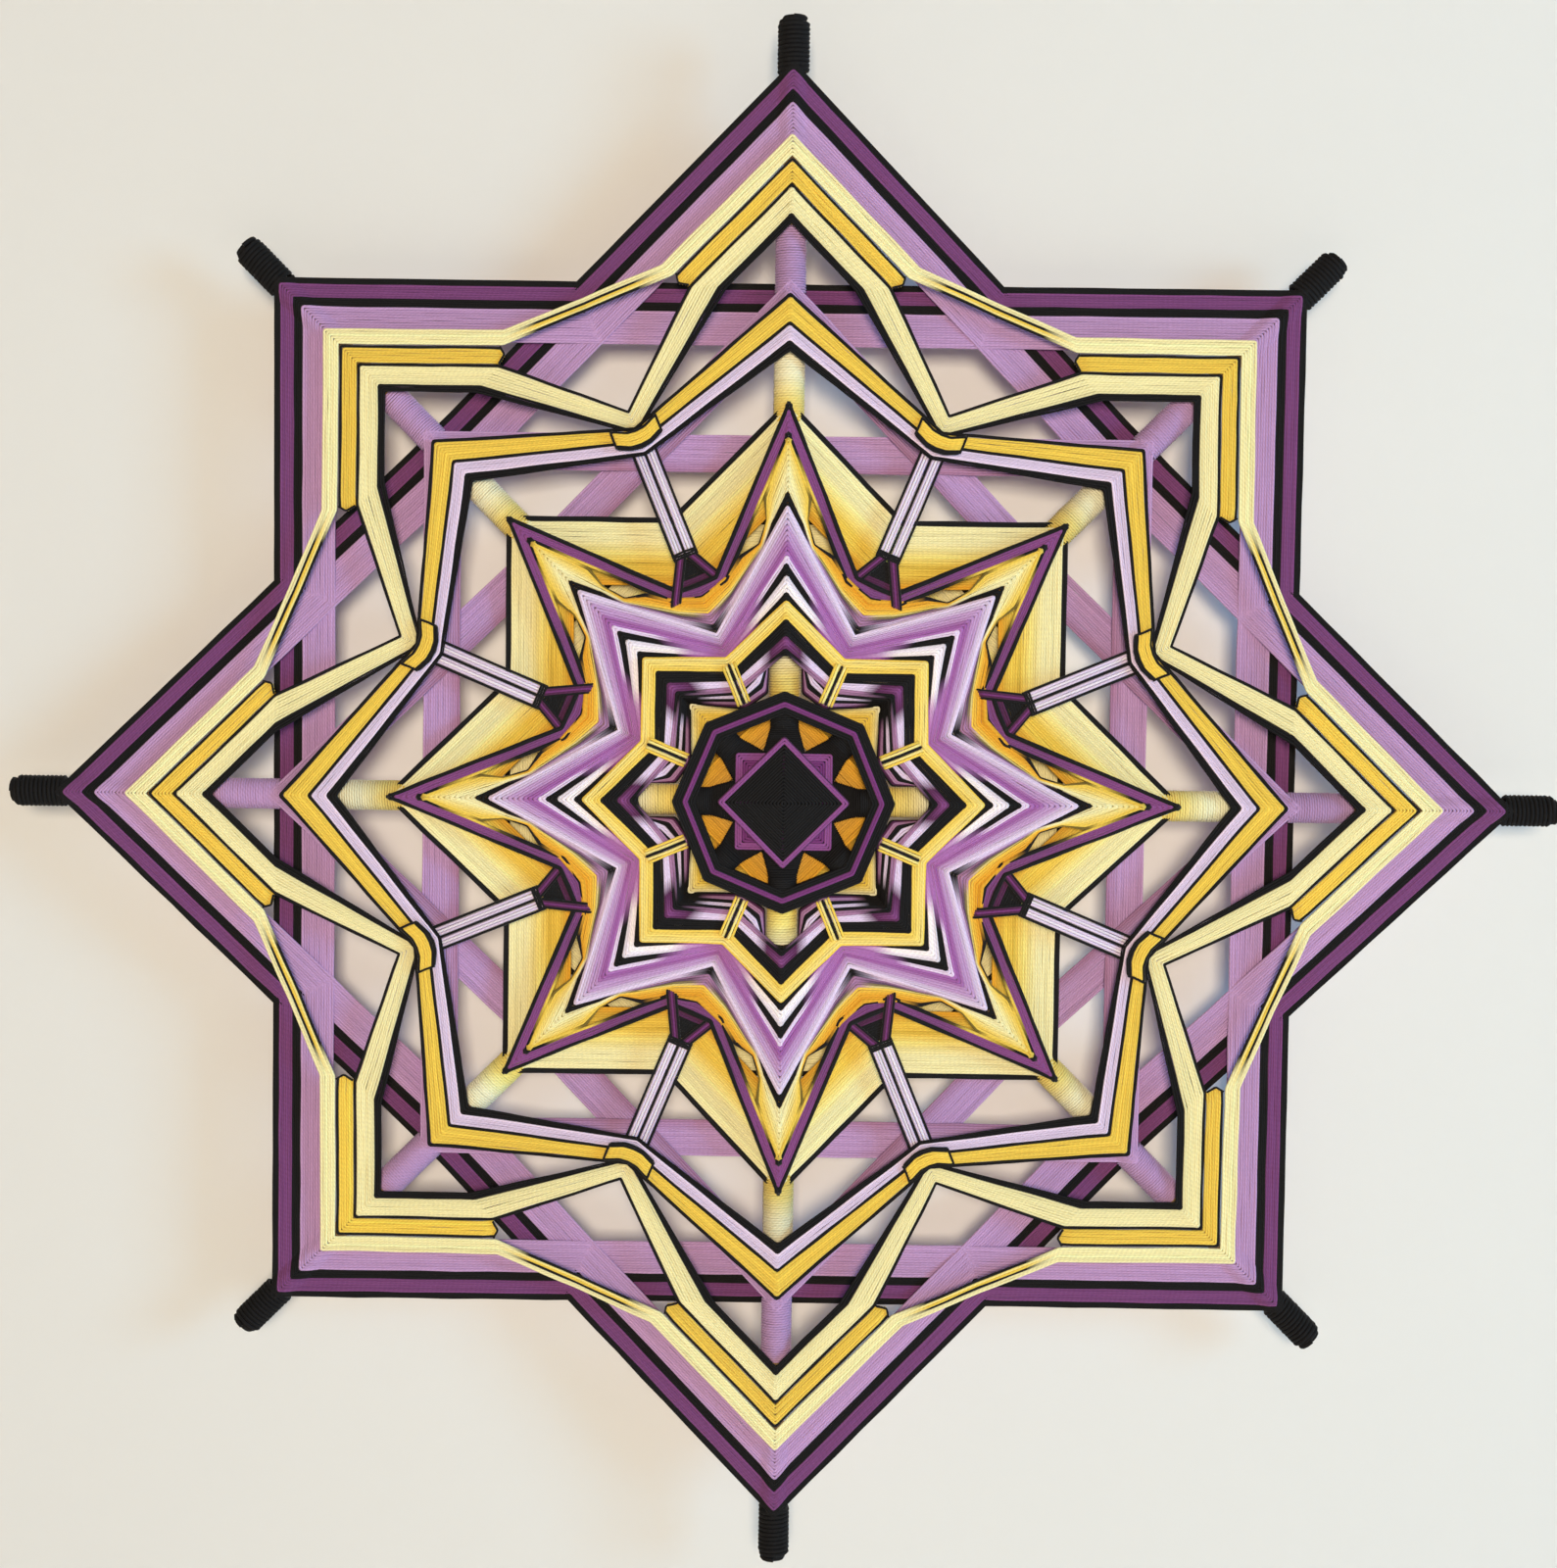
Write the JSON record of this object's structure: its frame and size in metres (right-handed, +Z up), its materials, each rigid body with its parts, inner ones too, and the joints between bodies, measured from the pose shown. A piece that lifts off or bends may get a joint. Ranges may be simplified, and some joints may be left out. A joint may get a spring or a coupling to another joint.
{
  "type": "yarn wall ornament",
  "caption": "Flat eight-armed wall ornament: two crosses of thin wooden sticks wound with yarn in nested star and square bands, ridged black centre, wrapped stick tips.",
  "frame": {"origin": "where the stick crossing lies on the wall: the rear of the diagonal sticks, at the centre", "axes": "+Z up along the upright stick, +X to the right of the viewer, front toward -Y, wall at +Y"},
  "size_m": [0.5034, 0.0314, 0.5034],
  "materials": {
    "stick_wood": "bare sanded softwood dowel",
    "yarn_black": "matt black acrylic yarn",
    "yarn_plum": "matt dark plum acrylic yarn",
    "yarn_purple": "matt purple acrylic yarn",
    "yarn_violet": "matt violet acrylic yarn",
    "yarn_lavender": "matt lavender acrylic yarn",
    "yarn_pale": "matt pale lavender acrylic yarn",
    "yarn_white": "matt lavender-white acrylic yarn",
    "yarn_cream": "matt cream acrylic yarn",
    "yarn_yellow": "matt golden yellow acrylic yarn"
  },
  "bodies": {
    "root": {"stick_upright": "stick_wood", "stick_level": "stick_wood", "stick_rising": "stick_wood", "stick_falling": "stick_wood", "tip_wrap_n": "yarn_black", "tip_wrap_ne": "yarn_black", "tip_wrap_e": "yarn_black", "tip_wrap_se": "yarn_black", "tip_wrap_s": "yarn_black", "tip_wrap_sw": "yarn_black", "tip_wrap_w": "yarn_black", "tip_wrap_nw": "yarn_black", "cream_square_upright": "yarn_cream", "lavender_square_upright": "yarn_lavender", "outer_lavender_upright": "yarn_lavender", "outer_black_upright": "yarn_black", "outer_purple_upright": "yarn_purple", "outer_edge_upright": "yarn_black", "cream_square_diagonal": "yarn_cream", "lavender_square_diagonal": "yarn_lavender", "outer_lavender_diagonal": "yarn_lavender", "outer_black_diagonal": "yarn_black", "outer_purple_diagonal": "yarn_purple", "outer_edge_diagonal": "yarn_black", "heart_square_upright": "yarn_cream", "heart_square_diagonal": "yarn_yellow", "heart_star_black_inner": "yarn_black", "heart_star_plum": "yarn_plum", "heart_star_black_outer": "yarn_black", "heart_star_yellow": "yarn_yellow", "lavender_star_black_inner": "yarn_black", "lavender_star_white": "yarn_white", "lavender_star_black_outer": "yarn_black", "lavender_star_pale_inner": "yarn_pale", "lavender_star_deep": "yarn_violet", "lavender_star_pale_outer": "yarn_pale", "golden_star_black": "yarn_black", "golden_star_cream": "yarn_cream", "golden_star_yellow": "yarn_yellow", "golden_star_purple": "yarn_purple", "middle_star_black_inner": "yarn_black", "middle_star_pale": "yarn_pale", "middle_star_black_middle": "yarn_black", "middle_star_yellow": "yarn_yellow", "middle_star_black_outer": "yarn_black", "chevron_black_inner": "yarn_black", "chevron_cream_inner": "yarn_cream", "chevron_black_outer": "yarn_black", "chevron_yellow": "yarn_yellow", "chevron_cream_outer": "yarn_cream", "rim_black_inner": "yarn_black", "rim_purple": "yarn_purple", "rim_black_outer": "yarn_black", "hub_diamond_black": "yarn_black", "hub_diamond_outline": "yarn_purple", "hub_square_black": "yarn_black", "hub_square_outline": "yarn_violet"}
  },
  "joints": []
}
